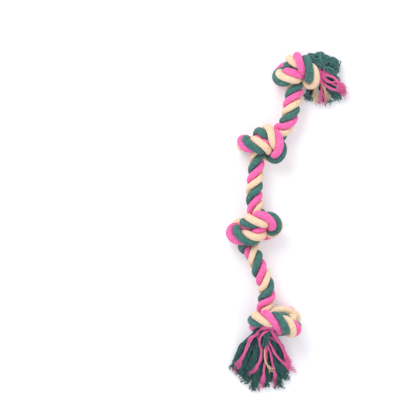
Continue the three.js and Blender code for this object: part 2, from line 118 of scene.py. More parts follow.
# The tassels' yarns. Each is a loose flat bundle of plies, and each ply has threads wound
# round one in its middle. half_width and half_height: of the bundle. wander: how far its
# plies sway to and fro over the wander_length. The last column: how much lighter than the
# colour of its cotton the yarn is drawn; the top green's 1.6 is painted light.
YarnKind = namedtuple("YarnKind", "half_width half_height plies wander wander_length lightness")
YARN_KINDS = {
    "top": {
        # The top green's 1.6 is painted light: the top tassel lies in brighter light than the bottom
        # one
        "green": YarnKind(0.0085, 0.0062, 8, 0.0024, 0.022, 1.6),
        "pink": YarnKind(0.0044, 0.0022, 2, 0.0021, 0.055, 1),
        "cream": YarnKind(0.0055, 0.0022, 2, 0.0014, 0.035, 1.05),
    },
    "bottom": {
        "green": YarnKind(0.0078, 0.0062, 9, 0.0009, 0.034, 1),
        "pink": YarnKind(0.0038, 0.0022, 3, 0.0007, 0.04, 1),
        "cream": YarnKind(0.0022, 0.0022, 1, 0.0006, 0.04, 1.15),
    },
}

# Yarns that are wider or narrower than their kind
WIDTH_SHARES = {
    "top": {
        "pink_yarn_9": 1.6, "loose_green_1": 0.65, "loose_green_2": 0.75, "loose_green_3": 0.75,
        "loose_green_5": 0.75,
    },
    "bottom": {
        "pink_yarn_8": 1.35, "pink_yarn_9": 0.67, "pink_yarn_13": 0.67, "loose_pink_8": 1.35,
        "loose_pink_9": 0.67,
    },
}

# How the plies and threads of a yarn lie
THREADS_ROUND_PLY = 6
THREADS_ACROSS_PLY = 3
THREAD_DIAMETER = 0.0014
THREAD_SIDES = 5
THREAD_SPAN_STEPS = 5
PLY_TWIST_LENGTH = 0.016
PLY_OPENING_SHARE = 1.5
BUNDLE_TWIST_LENGTH = 0.06
BUNDLE_TWIST_SPREAD = (0.6, 1)
BUNDLE_ROOT_SHARE = 0.6
BUNDLE_ROOT_LENGTH = 0.03
FRAY_SHARE = 0.3
FRAY_START_SHARE = 0.72
THREAD_LENGTH_SPREAD = 0.08
ROOT_DEPTH = 0.01
WANDER_LENGTH_SPREAD = (0.6, 1.7)
FRAY_WANDER_SHARE = 1.2
THREAD_FRAY = 0.004
THREAD_SEED = 5
GOLDEN_ANGLE = math.radians(137.5)
TIP_THREAD_SHARE = 0.5

# Facets of the rope's solid form, whose box has its middle over the origin
SOLID_STRAND_SIDES = 8
SOLID_YARN_SIDES = 5

# Camera, high up and looking straight down; its sensor is in millimetres
CAMERA_PLACE = (-0.1365, 0.0483)
CAMERA_DISTANCE = 6
CAMERA_WIDTH = 0.84
SENSOR_WIDTH = 36

# Inset of a stretch from the knots at its ends; it is worked out, but nothing uses it
BEND_INSET = 0.008

# Cotton colours: dark, middle and light fibres
STRAND_COLOURS = {
    "green": ((0.03, 0.104, 0.088), (0.057, 0.17, 0.148), (0.112, 0.29, 0.26)),
    "pink": ((0.78, 0.065, 0.3), (0.97, 0.145, 0.43), (1, 0.3, 0.58)),
    "cream": ((0.78, 0.51, 0.31), (0.91, 0.67, 0.45), (0.98, 0.81, 0.61)),
}
YARN_COLOURS = {
    "green": ((0.012, 0.052, 0.048), (0.034, 0.13, 0.12), (0.085, 0.31, 0.27)),
    "pink": ((0.78, 0.05, 0.22), (1, 0.15, 0.46), (1, 0.36, 0.68)),
    "cream": ((0.7, 0.41, 0.22), (0.88, 0.6, 0.37), (0.97, 0.76, 0.55)),
}
FIBRE_COLOUR_PLACES = (0.3, 0.5, 0.72)
FIBRE_LENGTH = 0.006
FIBRE_THICKNESS = 0.0006
FIBRE_DETAIL = 3
FIBRE_NOISE_ROUGHNESS = 0.65
YARN_FIBRE_SHARE = 0.5

# Paler and darker patches on the strands, and streaks along the yarns
SHADE_DETAIL = 2
SHADE_NOISE_RANGE = (0.25, 0.75)
PATCH_SIZE = 0.005
PATCH_SHADES = {"green": 0.3, "pink": 0.13, "cream": 0.1}
STREAK_LENGTH = 0.03
STREAK_SHADES = {"green": 0.5, "pink": 0.16, "cream": 0.16}

# Relief and gloss of the cotton
STRAND_BUMP_HEIGHT = 0.0004
THREAD_PLIES = 2
THREAD_PITCH = 0.0035
THREAD_BUMP_HEIGHT = 0.0003
STRAND_SHEEN = 0.35
# The top yarns have more sheen than the same yarns at the bottom: painted light, brightening the top
# tassel
YARN_SHEENS = {"top": 0.5, "bottom": 0.22}
SHEEN_ROUGHNESS = 0.4
ROUGHNESS = 0.9
COTTON_GLOSS = 0.25

# Floor, and the soft light all round
FLOOR_SIZE = 6
FLOOR_COLOUR = (0.86, 0.86, 0.87, 1)
FLOOR_ROUGHNESS = 0.8
FLOOR_GLOW = 0.2
WORLD_COLOUR = (0.93, 0.95, 1, 1)
WORLD_STRENGTH = 0.75

# Lamps: name, place, size and power
LIGHTS = [
    ("key", (-1, 1.5, 1.9), 1.6, 34),
    ("fill", (1.4, -0.8, 1.8), 1.8, 12),
]

# The strands by their colours, in order round the rope
STRAND_NAMES = ("green", "cream", "pink")

# Half of an overhand knot's route in rope diameters, with the rope coming in from +Y.
# The other half is the same turned half way round the Z axis.
HALF_KNOT_SHARES = [
    (0.05, 1.38, -0.37), (0.17, 0.89, -0.15), (0.27, 0.41, 0.08), (0.45, -0.02, 0.4),
    (0.33, -0.41, 0.73), (-0.03, -0.73, 0.93), (-0.53, -0.93, 0.9), (-1, -0.97, 0.61),
    (-1.25, -0.85, 0.17), (-1.3, -0.63, -0.32), (-1, -0.38, -0.7), (-0.5, -0.17, -0.86),
]
KNOT_MIDDLE_SHARES = (0, 0, -0.89)

# The four knots. place: middle of the knot. turn: degrees about Z. bend: extra turn of the
# last half against the first. spread_shares: width, length and height against the round
# knot. nod and roll: degrees about X and Y. first_lobe and last_lobe: how far each lobe is
# moved, in rope diameters, and turned, in degrees. lay: turn of the green strand from the
# top where the rope comes in, then its turns over the knot, and how uneven they are.
# turned_over: a knot tied the other way up.
KNOTS = [
    dict(
        place=(0.0708, 0.3171, 0), turn=-56, bend=16, spread_shares=(0.655, 0.513, 0.59),
        nod=19, roll=-43.5, first_lobe=(-0.12, -0.33, 22), last_lobe=(-0.05, 0.14, -11),
        lay=(0.013, 3.99, 0.1, -0.01),
    ),
    dict(
        place=(0.0003, 0.1633, 0), turn=-36, bend=-3, spread_shares=(0.84, 0.6, 0.735),
        nod=-16, roll=-35, first_lobe=(-0.11, -0.12, 3.5), last_lobe=(-0.29, -0.13, -24),
        lay=(0.131, 3.98, -0.02, -0.08),
    ),
    dict(
        place=(-0.02, -0.0139, 0), turn=-25, bend=-31, spread_shares=(0.74, 1.06, 0.715),
        nod=13.5, roll=-29, first_lobe=(-0.08, 0.15, -33), last_lobe=(0.1, -0.06, 18),
        lay=(0.638, 6.01, -0.04, 0.3),
    ),
    dict(
        place=(0.0149, -0.2059, 0), turn=69.5, bend=-34, spread_shares=(0.71, 0.52, 1.025),
        nod=-68.5, roll=-54, first_lobe=(0.4, -0.375, -21.5), last_lobe=(-0.055, 0.125, 8),
        lay=(-0.19, 5.02, 0.17, -0.07), turned_over=True,
    ),
]

# Where the lobes of a knot lie on its route, and how far they reach, in points
LOBE_MIDDLES = (6.5, 17.5)
LOBE_REACH = 3.2

# Middle line of the rope before, between and after the knots
UPPER_END = [(0.112, 0.33, -0.012), (0.1, 0.331, -0.006)]
STRETCHES = [
    [(0.0571, 0.2541, 0), (0.0517, 0.229, 0), (0.043, 0.2058, 0)],
    [(-0.02, 0.0932, 0), (-0.0225, 0.0567, 0)],
    [(-0.0193, -0.0735, 0), (-0.012, -0.0987, 0), (0.0042, -0.1407, 0)],
]
LOWER_END = [(0.002, -0.226, 0.012)]

# Tassel yarns: colour and route
UPPER_YARNS = [
    ("green", (0.12, 0.34, -0.01), (0.127, 0.344, -0.009),
     (0.138, 0.34, -0.014), (0.148, 0.328, -0.023)),
    ("green", (0.122, 0.334, -0.008), (0.131, 0.334, -0.009),
     (0.139, 0.326, -0.015), (0.144, 0.313, -0.024)),
    ("green", (0.124, 0.328, -0.014), (0.134, 0.32, -0.018),
     (0.144, 0.309, -0.023), (0.151, 0.299, -0.027)),
    ("green", (0.122, 0.32, -0.018), (0.127, 0.304, -0.021), (0.135, 0.286, -0.023),
     (0.146, 0.274, -0.026), (0.159, 0.268, -0.027)),
    ("green", (0.114, 0.316, -0.024), (0.106, 0.298, -0.027),
     (0.096, 0.281, -0.027), (0.094, 0.262, -0.027)),
    ("green", (0.119, 0.318, -0.02), (0.122, 0.298, -0.024),
     (0.124, 0.276, -0.027), (0.133, 0.254, -0.027)),
    ("pink", (0.123, 0.324, -0.002), (0.131, 0.317, 0), (0.141, 0.311, -0.002),
     (0.15, 0.302, -0.007), (0.158, 0.29, -0.014), (0.168, 0.278, -0.022)),
    ("pink", (0.122, 0.32, -0.008), (0.124, 0.305, -0.006), (0.131, 0.289, -0.005),
     (0.149, 0.288, -0.01), (0.165, 0.282, -0.018)),
    ("pink", (0.118, 0.319, -0.016), (0.117, 0.302, -0.012), (0.118, 0.285, -0.01),
     (0.118, 0.27, -0.014), (0.119, 0.256, -0.022)),
    ("cream", (0.121, 0.317, -0.01), (0.114, 0.3, -0.008), (0.11, 0.282, -0.008),
     (0.104, 0.269, -0.013), (0.108, 0.254, -0.023)),
    ("cream", (0.12, 0.319, -0.008), (0.122, 0.302, -0.008),
     (0.126, 0.28, -0.009), (0.132, 0.257, -0.021)),
]
LOWER_YARNS = [
    ("green", (-0.013, -0.237, 0.004), (-0.028, -0.238, -0.006), (-0.041, -0.252, -0.018),
     (-0.053, -0.27, -0.026), (-0.06, -0.292, -0.027)),
    ("green", (-0.008, -0.243, 0), (-0.021, -0.25, -0.01), (-0.033, -0.268, -0.021),
     (-0.043, -0.292, -0.027), (-0.051, -0.316, -0.027)),
    ("green", (-0.003, -0.246, -0.002), (-0.012, -0.262, -0.012), (-0.023, -0.284, -0.021),
     (-0.032, -0.308, -0.027), (-0.041, -0.332, -0.027)),
    ("green", (0.002, -0.247, -0.004), (-0.003, -0.268, -0.015), (-0.012, -0.295, -0.024),
     (-0.018, -0.321, -0.027), (-0.02, -0.346, -0.027)),
    ("green", (0.006, -0.248, -0.01), (0.006, -0.276, -0.021),
     (0.004, -0.308, -0.027), (0.005, -0.339, -0.027)),
    ("green", (0.011, -0.246, -0.004), (0.017, -0.27, -0.017), (0.024, -0.296, -0.025),
     (0.028, -0.32, -0.027), (0.028, -0.341, -0.027)),
    ("green", (0.014, -0.241, 0.002), (0.025, -0.256, -0.01), (0.034, -0.275, -0.022),
     (0.039, -0.298, -0.027), (0.042, -0.325, -0.027)),
    ("pink", (-0.008, -0.231, 0.016), (-0.02, -0.227, 0.013), (-0.029, -0.238, 0.003),
     (-0.035, -0.255, -0.006), (-0.046, -0.283, -0.018), (-0.062, -0.308, -0.025)),
    ("pink", (-0.004, -0.238, 0.01), (-0.011, -0.243, 0.006), (-0.01, -0.259, -0.001),
     (-0.007, -0.277, -0.008), (-0.012, -0.296, -0.015), (-0.027, -0.316, -0.021)),
    ("pink", (0.012, -0.237, 0.01), (0.023, -0.242, 0.003), (0.033, -0.253, -0.006),
     (0.04, -0.266, -0.013), (0.047, -0.294, -0.023)),
    ("pink", (0.009, -0.244, 0.006), (0.012, -0.256, 0), (0.014, -0.268, -0.004),
     (0.024, -0.281, -0.009), (0.044, -0.298, -0.019), (0.059, -0.309, -0.024)),
    ("pink", (0.003, -0.244, 0), (0.006, -0.266, -0.008), (-0.001, -0.292, -0.014),
     (0, -0.316, -0.019), (-0.008, -0.347, -0.026)),
    ("pink", (0.009, -0.25, -0.004), (0.013, -0.286, -0.014),
     (0.019, -0.308, -0.02), (0.025, -0.341, -0.026)),
    ("cream", (0.002, -0.246, 0.004), (-0.002, -0.272, -0.006), (0.003, -0.288, -0.011),
     (0.008, -0.304, -0.015), (0.016, -0.311, -0.018)),
]

# Loose yarn that lies over and under the yarns of the tassels: colour and route
UPPER_LOOSE = [
    ("green", (0.081, 0.346, 0.012), (0.092, 0.35, 0.014), (0.103, 0.351, 0.014),
     (0.11, 0.354, 0.014), (0.117, 0.355, 0.012), (0.121, 0.35, 0.014), (0.117, 0.345, 0.018),
     (0.111, 0.343, 0.018), (0.12, 0.34, 0.014), (0.13, 0.343, 0.008)),
    ("green", (0.088, 0.342, 0.016), (0.098, 0.345, 0.018), (0.107, 0.341, 0.018),
     (0.117, 0.338, 0.015), (0.127, 0.338, 0.011), (0.136, 0.336, 0.003), (0.142, 0.33, -0.005),
     (0.14, 0.323, -0.006), (0.146, 0.318, -0.014)),
    ("green", (0.094, 0.336, 0.016), (0.104, 0.334, 0.018), (0.114, 0.332, 0.015),
     (0.123, 0.328, 0.013), (0.13, 0.324, 0.01), (0.138, 0.321, 0.003), (0.146, 0.315, -0.008)),
    ("green", (0.084, 0.339, 0.01), (0.095, 0.343, 0.008), (0.108, 0.348, 0.005),
     (0.121, 0.347, 0), (0.133, 0.343, -0.006), (0.143, 0.336, -0.012), (0.152, 0.329, -0.018)),
    ("green", (0.118, 0.318, -0.012), (0.13, 0.307, -0.016), (0.141, 0.298, -0.021),
     (0.152, 0.289, -0.026)),
    ("pink", (0.106, 0.326, 0.01), (0.114, 0.317, 0.012), (0.122, 0.31, 0.01),
     (0.133, 0.311, 0.006), (0.143, 0.309, 0.002), (0.15, 0.302, -0.004), (0.154, 0.291, -0.012),
     (0.162, 0.279, -0.02)),
    ("pink", (0.108, 0.32, 0.008), (0.115, 0.309, 0.01), (0.123, 0.303, 0.008),
     (0.137, 0.298, 0.002), (0.15, 0.297, -0.006), (0.16, 0.288, -0.014), (0.167, 0.276, -0.021)),
    ("pink", (0.105, 0.328, 0.006), (0.113, 0.321, 0.009), (0.117, 0.309, 0.009),
     (0.12, 0.295, 0.004), (0.13, 0.285, 0), (0.145, 0.282, -0.006), (0.158, 0.277, -0.015),
     (0.167, 0.268, -0.022)),
]
LOWER_LOOSE = [
    ("green", (0.009, -0.222, 0.024), (0.007, -0.231, 0.028), (0.003, -0.242, 0.026),
     (-0.001, -0.252, 0.014), (-0.007, -0.263, -0.006), (-0.014, -0.277, -0.016),
     (-0.022, -0.295, -0.022), (-0.03, -0.314, -0.026)),
    ("green", (-0.022, -0.235, 0), (-0.034, -0.246, -0.012), (-0.047, -0.264, -0.024),
     (-0.057, -0.285, -0.027), (-0.062, -0.308, -0.027)),
    ("green", (-0.014, -0.246, -0.014), (-0.022, -0.262, -0.024), (-0.033, -0.284, -0.03),
     (-0.042, -0.308, -0.03)),
    ("green", (-0.008, -0.248, -0.012), (-0.015, -0.27, -0.024), (-0.022, -0.296, -0.03),
     (-0.027, -0.324, -0.03)),
    ("green", (-0.001, -0.25, -0.016), (-0.005, -0.276, -0.027), (-0.009, -0.306, -0.03),
     (-0.009, -0.334, -0.03)),
    ("green", (0.008, -0.25, -0.016), (0.012, -0.276, -0.027), (0.015, -0.304, -0.03),
     (0.017, -0.33, -0.03)),
    ("green", (0.016, -0.248, -0.014), (0.024, -0.268, -0.024), (0.029, -0.29, -0.03),
     (0.033, -0.312, -0.03)),
    ("pink", (0.012, -0.221, 0.03), (0.0155, -0.23, 0.029), (0.022, -0.241, 0.021),
     (0.031, -0.252, 0.005), (0.039, -0.264, -0.006), (0.045, -0.283, -0.016),
     (0.048, -0.296, -0.022)),
    ("pink", (0.008, -0.224, 0.03), (-0.002, -0.229, 0.031), (-0.009, -0.238, 0.026),
     (-0.011, -0.249, 0.014), (-0.01, -0.262, 0.002), (-0.007, -0.277, -0.006),
     (-0.012, -0.295, -0.013), (-0.026, -0.315, -0.02)),
]


def smooth_step(value, low, high):
    """0 below low, 1 above high, and a smooth rise between."""
    share = np.clip((value - low) / (high - low), 0, 1)
    return share * share * (3 - 2 * share)


def way_to(start, end):
    return (end - start) / norm(end - start)


def mixed(low, high, share):
    return low + (high - low) * share


def turned(points, axis, degrees):
    """Points turned about the X, Y or Z axis, each by its own angle."""
    first, second = (axis + 1) % 3, (axis + 2) % 3
    cosine, sine = np.cos(np.radians(degrees)), np.sin(np.radians(degrees))
    result = points.copy()
    result[:, first] = points[:, first] * cosine - points[:, second] * sine
    result[:, second] = points[:, first] * sine + points[:, second] * cosine
    return result


def knot_route(knot):
    """The route of one knot, without the two points in the straight rope."""
    half = np.array(HALF_KNOT_SHARES, float)
    shares = np.vstack([half, KNOT_MIDDLE_SHARES, half[::-1] * (-1, -1, 1)])
    index = np.arange(len(shares))
    middle = (len(shares) - 1) / 2
    first, last = (np.exp(-(((index - m) / LOBE_REACH) ** 2)) for m in LOBE_MIDDLES)
    side = -1 if knot.get("turned_over") else 1
    points = shares * np.array(knot["spread_shares"]) * (side, 1, side)
    aside, along, lobe_turns = (
        a * first + b * last for a, b in zip(knot["first_lobe"], knot["last_lobe"])
    )
    points[:, 0] += aside
    points[:, 1] += along
    points = turned(points, 0, knot["nod"])
    points = turned(points, 1, knot["roll"])
    bends = knot["bend"] * (index - middle) / middle
    points = turned(points, 2, knot["turn"] + bends + lobe_turns) * ROPE_DIAMETER
    points[:, 2] /= PRESS_SHARE
    return (points + np.array(knot["place"]))[1:-1]


def rope_route():
    """The whole middle line, and where each knot starts and ends on it, in points."""
    points = [np.array(UPPER_END)]
    spans = []
    for knot, after in zip(KNOTS, [*STRETCHES, LOWER_END]):
        start = sum(len(part) for part in points)
        points.append(knot_route(knot))
        spans.append((start, start + len(points[-1]) - 1))
        points.append(np.array(after))
    return np.vstack(points), spans


def curve_points(guides, per_span):
    """Points of the centripetal Catmull-Rom curve through the guides."""
    guides = np.asarray(guides, float)
    padded = np.vstack([2 * guides[0] - guides[1], guides, 2 * guides[-1] - guides[-2]])
    steps = np.sqrt(norm(np.diff(padded, axis=0), axis=1))[:, None]
    p0, p1, p2, p3 = padded[:-3], padded[1:-2], padded[2:-1], padded[3:]
    d0, d1, d2 = steps[:-2], steps[1:-1], steps[2:]
    leaving = ((p1 - p0) / d0 - (p2 - p0) / (d0 + d1) + (p2 - p1) / d1) * d1
    arriving = ((p2 - p1) / d1 - (p3 - p1) / (d1 + d2) + (p3 - p2) / d2) * d1
    share = (np.arange(per_span) / per_span)[None, :, None]
    p1, p2, leaving, arriving = (a[:, None] for a in (p1, p2, leaving, arriving))
    square = 3 * (p2 - p1) - 2 * leaving - arriving
    cube = 2 * (p1 - p2) + leaving + arriving
    spans = p1 + share * (leaving + share * (square + share * cube))
    return np.vstack([spans.reshape(-1, 3), guides[-1]])


def distances_along(points):
    steps = norm(np.diff(points, axis=0), axis=1)
    return np.concatenate([[0], np.cumsum(steps)])


def even_points(guides, step):
    """Points along a smooth curve at an even step, its length, and each guide's distance."""
    fine = curve_points(guides, FINE_STEPS)
    distance = distances_along(fine)
    count = round(distance[-1] / step) + 1
    wanted = np.linspace(0, distance[-1], count)
    points = np.stack([np.interp(wanted, distance, fine[:, k]) for k in range(3)], axis=1)
    return points, distance[-1], distance[::FINE_STEPS]


def frames_along(points, first_tangent=None):
    """Tangent, and a pair of cross directions that don't spin, at each point of a line."""
    tangents = np.empty_like(points)
    tangents[1:-1] = points[2:] - points[:-2]
    tangents[0] = points[1] - points[0] if first_tangent is None else first_tangent
    tangents[-1] = points[-1] - points[-2]
    tangents /= norm(tangents, axis=1, keepdims=True)
    normals = np.empty_like(points)
    normal = np.array((0, 0, 1.0))
    for i, tangent in enumerate(tangents):
        normal = normal - tangent * (normal @ tangent)
        normal /= norm(normal)
        normals[i] = normal
    return tangents, normals, np.cross(tangents, normals)


def lay_radius():
    """The radius at which the rope's three strands just clear each other."""
    along = LAY_PITCH * np.arange(LAY_TRIES) / (len(STRAND_NAMES) * LAY_TRIES)
    angle = math.tau / len(STRAND_NAMES) - math.tau * along / LAY_PITCH
    radius = STRAND_DIAMETER / 2
    while np.hypot(2 * radius * np.sin(angle / 2), along).min() < STRAND_DIAMETER + STRAND_GAP:
        radius += LAY_STEP
    return radius


def lay_marks(points, length, guide_distance, spans, normals, sides):
    """Angle of the first strand round the middle line, as pairs of distance and angle."""
    marks = []
    for knot, span in zip(KNOTS, spans):
        start, end = guide_distance[span[0]], guide_distance[span[1]]
        at = round(start / length * (len(points) - 1))
        entry, turns, lean, wave = knot["lay"]
        angle = math.atan2(sides[at][2], normals[at][2]) + math.tau * entry
        if marks:
            wanted = marks[-1][1] + math.tau * (start - marks[-1][0]) / LAY_PITCH
            angle += math.tau * round((wanted - angle) / math.tau)
        else:
            marks.append((0, angle - math.tau * start / LAY_PITCH))
        for i in range(LAY_MARKS + 1):
            share = i / LAY_MARKS
            swing = math.tau * share
            turn = turns * share + lean * math.sin(swing) + wave * math.sin(2 * swing)
            marks.append((mixed(start, end, share), angle + math.tau * turn))
    rest = length - marks[-1][0]
    marks.append((length, marks[-1][1] + math.tau * rest / LAY_PITCH))
    return np.array(marks)


class Chain:
    """A strand or a yarn as a line of points, with a radius at each.

    held: how many points stay put at each end. sink: how far it is pressed flat on the floor.
    tightness: its drawn length against its laid length. A yarn's root: the number of the
    strand that it comes out of, and whether at that strand's start.
    """

    def __init__(self, name, held, sink, tightness=1, points=None, radii=None):
        self.name = name
        self.held = held
        self.sink = sink
        self.tightness = tightness
        self.points = points
        self.radii = radii
        self.colour = self.guides = self.root = self.outward = None


def laid_strands(points, length, guide_distance, spans):
    """The three strands as laid, before they bed."""
    _, normals, sides = frames_along(points)
    marks = lay_marks(points, length, guide_distance, spans, normals, sides)
    distance = length * np.arange(len(points)) / (len(points) - 1)
    starts, ends = guide_distance[np.array(spans)].T
    depth = np.minimum(distance[:, None] - starts, ends - distance[:, None]).max(axis=1)
    inside = smooth_step(depth, 0, KNOT_FADE_LENGTH)
    radii = mixed(STRAND_DIAMETER, KNOT_STRAND_DIAMETER, inside) / 2
    helix = lay_radius() * (2 * radii + STRAND_GAP) / (STRAND_DIAMETER + STRAND_GAP)
    first_angle = np.interp(distance, *marks.T)
    strands = []
    for k, name in enumerate(STRAND_NAMES):
        angle = first_angle + math.tau * k / len(STRAND_NAMES)
        across = np.cos(angle)[:, None] * normals + np.sin(angle)[:, None] * sides
        line = points + helix[:, None] * across
        strands.append(Chain(name, STRAND_HELD_POINTS, FLAT_DEPTH, TIGHTNESS_SHARE, line, radii))
    return strands


def press_at(y):
    """Share of its round height that the rope lies at, by the distance along the toy."""
    places = np.array([knot["place"][1] for knot in KNOTS])
    away = np.abs(np.asarray(y)[..., None] - places).min(axis=-1)
    fade = smooth_step(away - PRESSED_LENGTH / 2, 0, PRESS_FADE_LENGTH)
    return mixed(PRESS_SHARE, 1, fade)


def yarn_radius(diameter, share):
    root = mixed(ROOT_SHARE, 1, smooth_step(share, 0, SWELL_SHARE))
    tip = mixed(1, TIP_SHARE, smooth_step(share, 1 - TAPER_SHARE, 1))
    return diameter / 2 * root * tip


def laid_yarns(specs, strands, at_start):
    """The yarns that come out of the ends of the strands, before they bed."""
    ends = []
    for strand in strands:
        end, before = strand.points[[0, 1]] if at_start else strand.points[[-1, -2]]
        outward = way_to(before, end)
        ends.append({"end": end, "outward": outward, "yarns": []})
    chains = []
    for n, (colour, *route) in enumerate(specs):
        roomy = [k for k, e in enumerate(ends) if len(e["yarns"]) < YARNS_PER_STRAND]
        nearest = min(roomy, key=lambda k: norm(ends[k]["end"] - route[0]))
        chain = Chain(f"{colour}_yarn_{n + 1}", YARN_HELD_POINTS, -YARN_CLEARANCE)
        chain.colour = colour
        chain.outward = ends[nearest]["outward"]
        chain.root = (nearest, at_start)
        chain.guides = np.array(route)
        ends[nearest]["yarns"].append(chain)
        chains.append(chain)
    for end in ends:
        spread_roots(**end)
    return chains


def spread_roots(end, outward, yarns):
    """Sets the roots of the yarns of one strand round its end, and lays the yarns from there."""
    across = np.array((0, 0, 1.0)) - outward * outward[2]
    across /= norm(across)
    other = np.cross(outward, across)
    turns = [math.atan2((y.guides[0] - end) @ other, (y.guides[0] - end) @ across) for y in yarns]
    order = np.argsort(turns, kind="stable")
    root_radius = (STRAND_DIAMETER - YARN_DIAMETERS["green"] * ROOT_SHARE) / 2
    for i, n in enumerate(order):
        yarn = yarns[n]
        angle = turns[order[0]] + math.tau * i / len(yarns)
        aside = across * math.cos(angle) + other * math.sin(angle)
        root = end + outward * END_GAP + aside * root_radius
        following = root + outward * ROOT_LENGTH + aside * ROOT_SPREAD
        further, length, _ = even_points(np.vstack([following, yarn.guides]), YARN_STEP)
        yarn.points = np.vstack([root, further])
        share = norm(yarn.points - root, axis=1) / (ROOT_LENGTH + length)
        yarn.radii = yarn_radius(YARN_DIAMETERS[yarn.colour], share)


def off_neighbours(values):
    """How far the mean of each row's two neighbours lies from it."""
    return (np.roll(values, 1, axis=0) + np.roll(values, -1, axis=0)) / 2 - values


class Bedding:
    """Strands and yarns as chains of points, which are drawn tight and push each other apart."""

    def __init__(self, chains):
        self.chains = chains
        counts = [len(chain.points) for chain in chains]
        self.starts = np.concatenate([[0], np.cumsum(counts)])
        self.place = np.vstack([chain.points for chain in chains])
        self.radius = np.concatenate([chain.radii for chain in chains])
        self.sink = np.repeat([chain.sink for chain in chains], counts)
        self.free = np.ones(len(self.place), bool)
        self.inner = np.zeros(len(self.place), bool)
        for chain, start, end in zip(chains, self.starts, self.starts[1:]):
            self.free[start:start + chain.held[0]] = False
            self.free[end - chain.held[1]:end] = False
            self.inner[start + 1:end - 1] = True
        self.deep = self.inner & np.roll(self.inner, 1) & np.roll(self.inner, -1)
        self.segment = np.setdiff1d(np.arange(len(self.place)), self.starts[1:] - 1)
        self.owner = np.searchsorted(self.starts, self.segment, side="right") - 1
        self.local = self.segment - self.starts[self.owner]
        tightness = np.array([chain.tightness for chain in chains])[self.owner]
        self.rest = norm(self.ways(), axis=1) * tightness

    def ways(self):
        return self.place[self.segment + 1] - self.place[self.segment]

    def joined(self, a, b):
        """Whether two segments join, so that they may touch."""
        owner_a, owner_b, local_a, local_b = (v[i] for v in (self.owner, self.local) for i in (a, b))
        close = (owner_a == owner_b) & (local_b - local_a <= SKIPPED_NEIGHBOURS)
        for k, chain in enumerate(self.chains):
            if chain.root is not None:
                strand, at_start = chain.root
                last = len(self.chains[strand].points) - 2
                from_end = local_a if at_start else last - local_a
                close |= (owner_b == k) & (owner_a == strand) & (from_end <= 1) & (local_b == 0)
        return close

    def find_near(self):
        """Lists the segments that lie near each other."""
        middles = (self.place[self.segment] + self.place[self.segment + 1]) / 2
        thick = np.maximum(self.radius[self.segment], self.radius[self.segment + 1])
        apart = norm(middles[:, None] - middles[None], axis=2)
        limit = thick[:, None] + thick[None] + STRAND_GAP
        a, b = np.nonzero(np.triu(apart <= limit + NEAR_REACH, 1))
        kept = ~self.joined(a, b)
        a, b = a[kept], b[kept]
        self.near = self.segment[a], self.segment[b], limit[a, b]

    def closest(self, i, j):
        """Closest points of pairs of segments as shares along them, and the way between."""
        u, v = self.place[i + 1] - self.place[i], self.place[j + 1] - self.place[j]
        w = self.place[i] - self.place[j]
        uu, vv, uv, uw, vw = (np.einsum("ij,ij->i", p, q) for p, q in
                              ((u, u), (v, v), (u, v), (u, w), (v, w)))
        spread = uu * vv - uv * uv
        steep = spread > np.finfo(float).eps * uu * vv
        s = np.where(steep, np.clip((uv * vw - vv * uw) / np.where(steep, spread, 1), 0, 1), 0.5)
        wanted = (uv * s + vw) / vv
        t = np.clip(wanted, 0, 1)
        s = np.where(t != wanted, np.clip((uv * t - uw) / uu, 0, 1), s)
        return s, t, w + u * s[:, None] - v * t[:, None]

    def settle(self, shift):
        """Moves the free points."""
        self.place[self.free] += shift[self.free]

    def gathered(self, index, values):
        """The sum of the values that fall on each point."""
        sums = [np.bincount(index, values[:, k], len(self.place)) for k in range(3)]
        return np.stack(sums, axis=1)

    def separate(self):
        """Pushes apart all that is too near, each point by the mean of its pushes."""
        i, j, limit = self.near
        s, t, way = self.closest(i, j)
        distance = norm(way, axis=1)
        hit = distance < limit
        if not hit.any():
            return
        i, j, s, t, way, distance, limit = (a[hit] for a in (i, j, s, t, way, distance, limit))
        spread = (1 - s) ** 2 + s ** 2 + (1 - t) ** 2 + t ** 2
        push = way * ((limit - distance) / (spread * distance))[:, None]
        index = np.concatenate([i, i + 1, j, j + 1])
        share = np.concatenate([1 - s, s, t - 1, -t])
        shift = self.gathered(index, np.vstack([push] * 4) * share[:, None])
        weight = np.bincount(index, np.abs(share), len(self.place))
        self.settle(shift / np.maximum(1, weight)[:, None])

    def tighten(self):
        """Draws each segment towards its length at rest."""
        way = self.ways()
        force = PULL_SHARE / 2 * (1 - self.rest / norm(way, axis=1))
        pull = way * force[:, None]
        index = np.concatenate([self.segment, self.segment + 1])
        self.settle(self.gathered(index, np.vstack([pull, -pull])))

    def smooth(self):
        """Evens out the bends of each chain."""
        bends = off_neighbours(self.place)
        bends[~self.inner] = 0
        change = off_neighbours(bends)
        change[~self.deep] = 0
        self.settle(-SMOOTHING_SHARE * change)

    def stay_up(self):
        """Keeps everything above the floor."""
        floor = self.radius - (ROPE_HEIGHT + self.sink) / press_at(self.place[:, 1])
        self.place[:, 2] = np.maximum(self.place[:, 2], floor)

    def run(self):
        """Draws the chains tight and clears them, then only clears them."""
        for i in range(PULLING_ROUNDS + CLEARING_ROUNDS):
            if i % REFRESH_ROUNDS == 0:
                self.find_near()
            if i < PULLING_ROUNDS:
                self.smooth()
                self.tighten()
            self.separate()
            self.stay_up()
        for chain, start, end in zip(self.chains, self.starts, self.starts[1:]):
            chain.points = self.place[start:end]


def pressed(points):
    """Points as they lie once the rope is pressed down and set on the floor."""
    result = np.array(points)
    result[..., 2] = result[..., 2] * press_at(result[..., 1]) + ROPE_HEIGHT
    return result


def ring_directions(line, sides, first_tangent=None):
    """Directions across a line at each of its points, all round."""
    _, normals, others = frames_along(line, first_tangent)
    angle = math.tau * (np.arange(sides) + 0.5) / sides
    return np.cos(angle)[:, None] * normals[:, None] + np.sin(angle)[:, None] * others[:, None]


def rings_round(line, radii, directions):
    """Rings of surface points round a line; radii are one for each ring or for each point."""
    radii = np.asarray(radii)
    if radii.ndim == 1:
        radii = radii[:, None]
    return line[:, None] + directions * radii[..., None]


